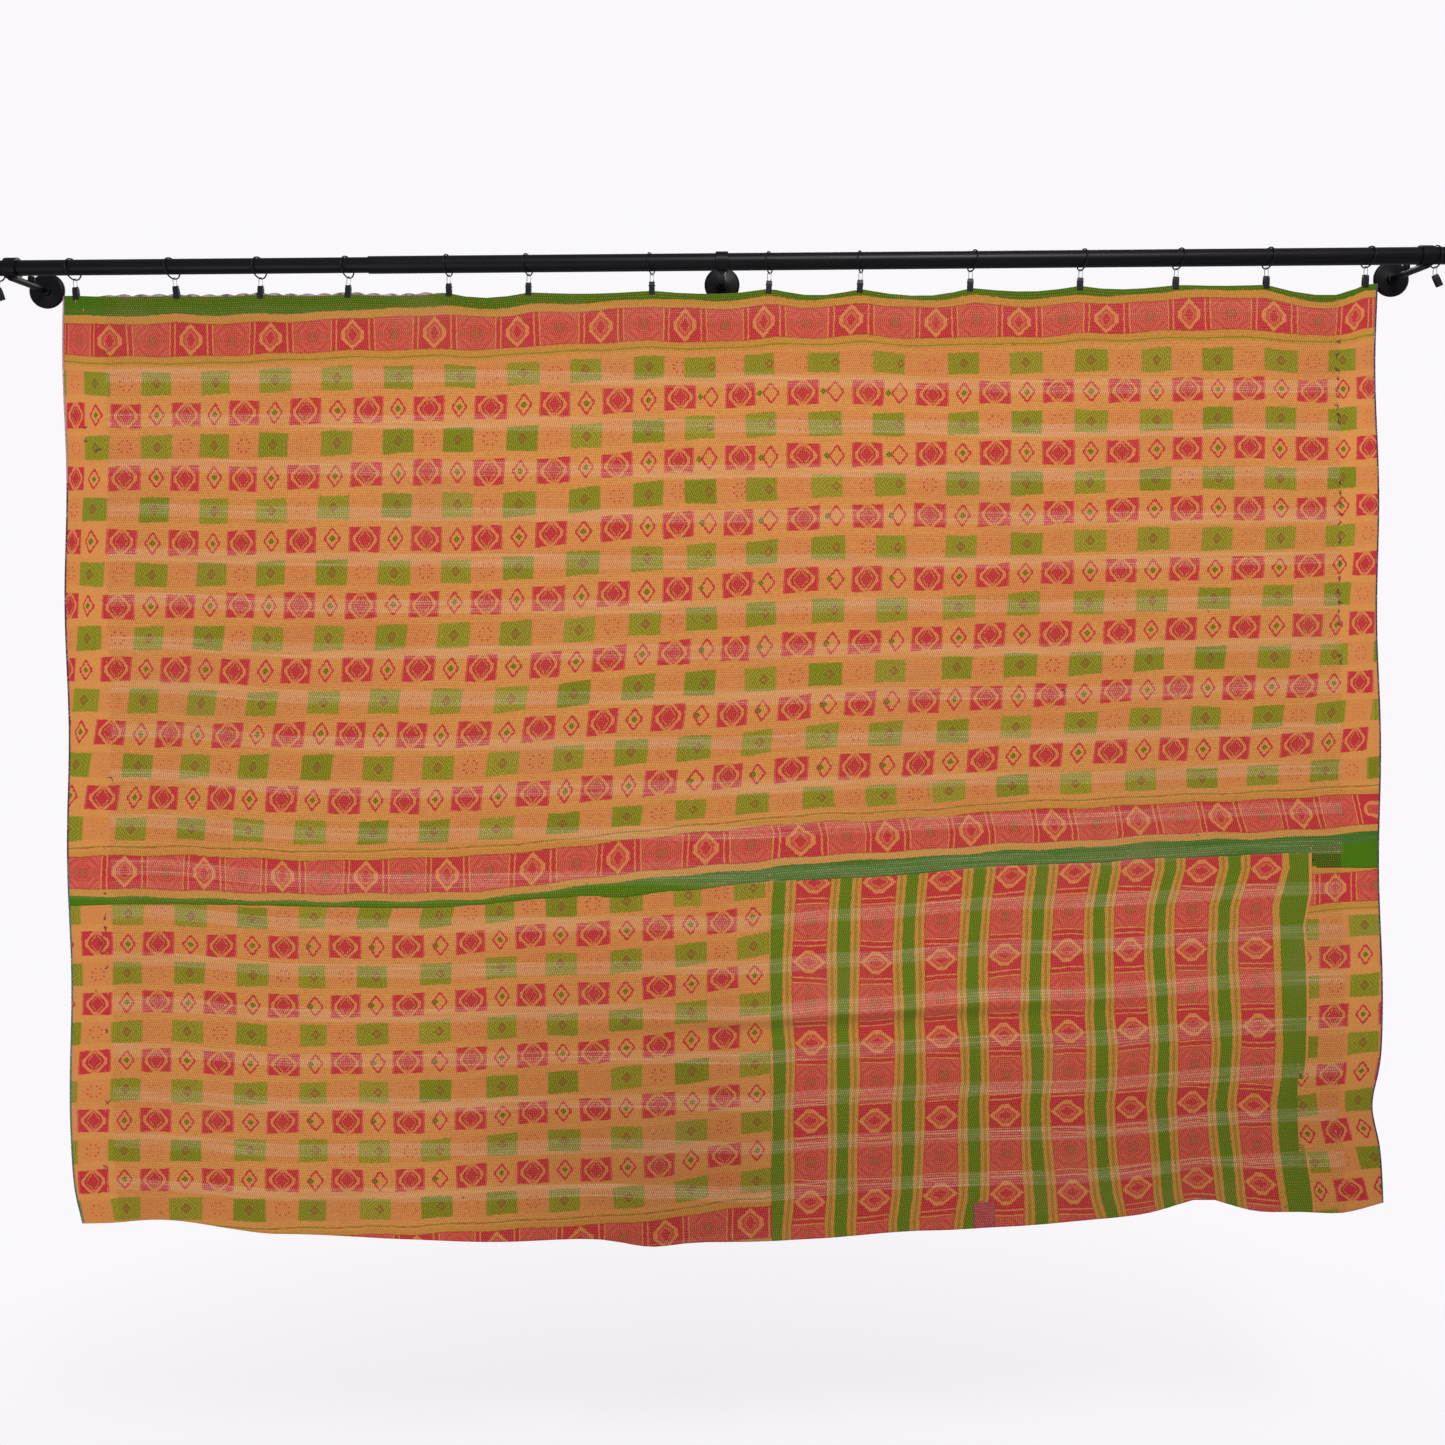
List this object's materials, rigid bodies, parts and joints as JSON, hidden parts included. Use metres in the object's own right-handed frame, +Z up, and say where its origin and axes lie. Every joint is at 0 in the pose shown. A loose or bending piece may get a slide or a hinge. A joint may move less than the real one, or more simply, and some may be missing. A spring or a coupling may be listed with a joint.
{
  "type": "kantha quilt on a curtain rod",
  "caption": "Patched cotton kantha quilt in printed orange, red and green, hung flat by ring clips from a black telescopic rod on wall brackets.",
  "frame": {"origin": "centre of the middle wall flange's back face, on the wall", "axes": "+X along the rod to the right, +Y into the wall, +Z up"},
  "size_m": [2.4386, 0.1313, 1.5951],
  "materials": {
    "printed_cotton": "soft, matt, hand stitched",
    "rod_black": "satin",
    "ring_black": "satin",
    "clip_black": "satin, with bright wire"
  },
  "bodies": {
    "root": {"upper_cloth": "printed_cotton", "lower_left_block": "printed_cotton", "lower_turned_block": "printed_cotton", "lower_right_strip": "printed_cotton", "rod_outer": "rod_black", "rod_inner": "rod_black", "end_cap_left": "rod_black", "end_cap_right": "rod_black", "flange_left": "rod_black", "arm_left": "rod_black", "collar_left": "rod_black", "screw_left": "rod_black", "flange_middle": "rod_black", "arm_middle": "rod_black", "collar_middle": "rod_black", "screw_middle": "rod_black", "flange_right": "rod_black", "arm_right": "rod_black", "collar_right": "rod_black", "screw_right": "rod_black", "ring_01": "ring_black", "ring_02": "ring_black", "ring_03": "ring_black", "ring_04": "ring_black", "ring_05": "ring_black", "ring_06": "ring_black", "ring_07": "ring_black", "ring_08": "ring_black", "ring_09": "ring_black", "ring_10": "ring_black", "ring_11": "ring_black", "ring_12": "ring_black", "ring_13": "ring_black", "ring_14": "ring_black", "ring_spare_left": "ring_black", "ring_spare_right": "ring_black", "clip_01": "clip_black", "clip_02": "clip_black", "clip_03": "clip_black", "clip_04": "clip_black", "clip_05": "clip_black", "clip_06": "clip_black", "clip_07": "clip_black", "clip_08": "clip_black", "clip_09": "clip_black", "clip_10": "clip_black", "clip_11": "clip_black", "clip_12": "clip_black", "clip_13": "clip_black", "clip_14": "clip_black", "clip_spare_left": "clip_black", "clip_spare_right": "clip_black"}
  },
  "joints": []
}
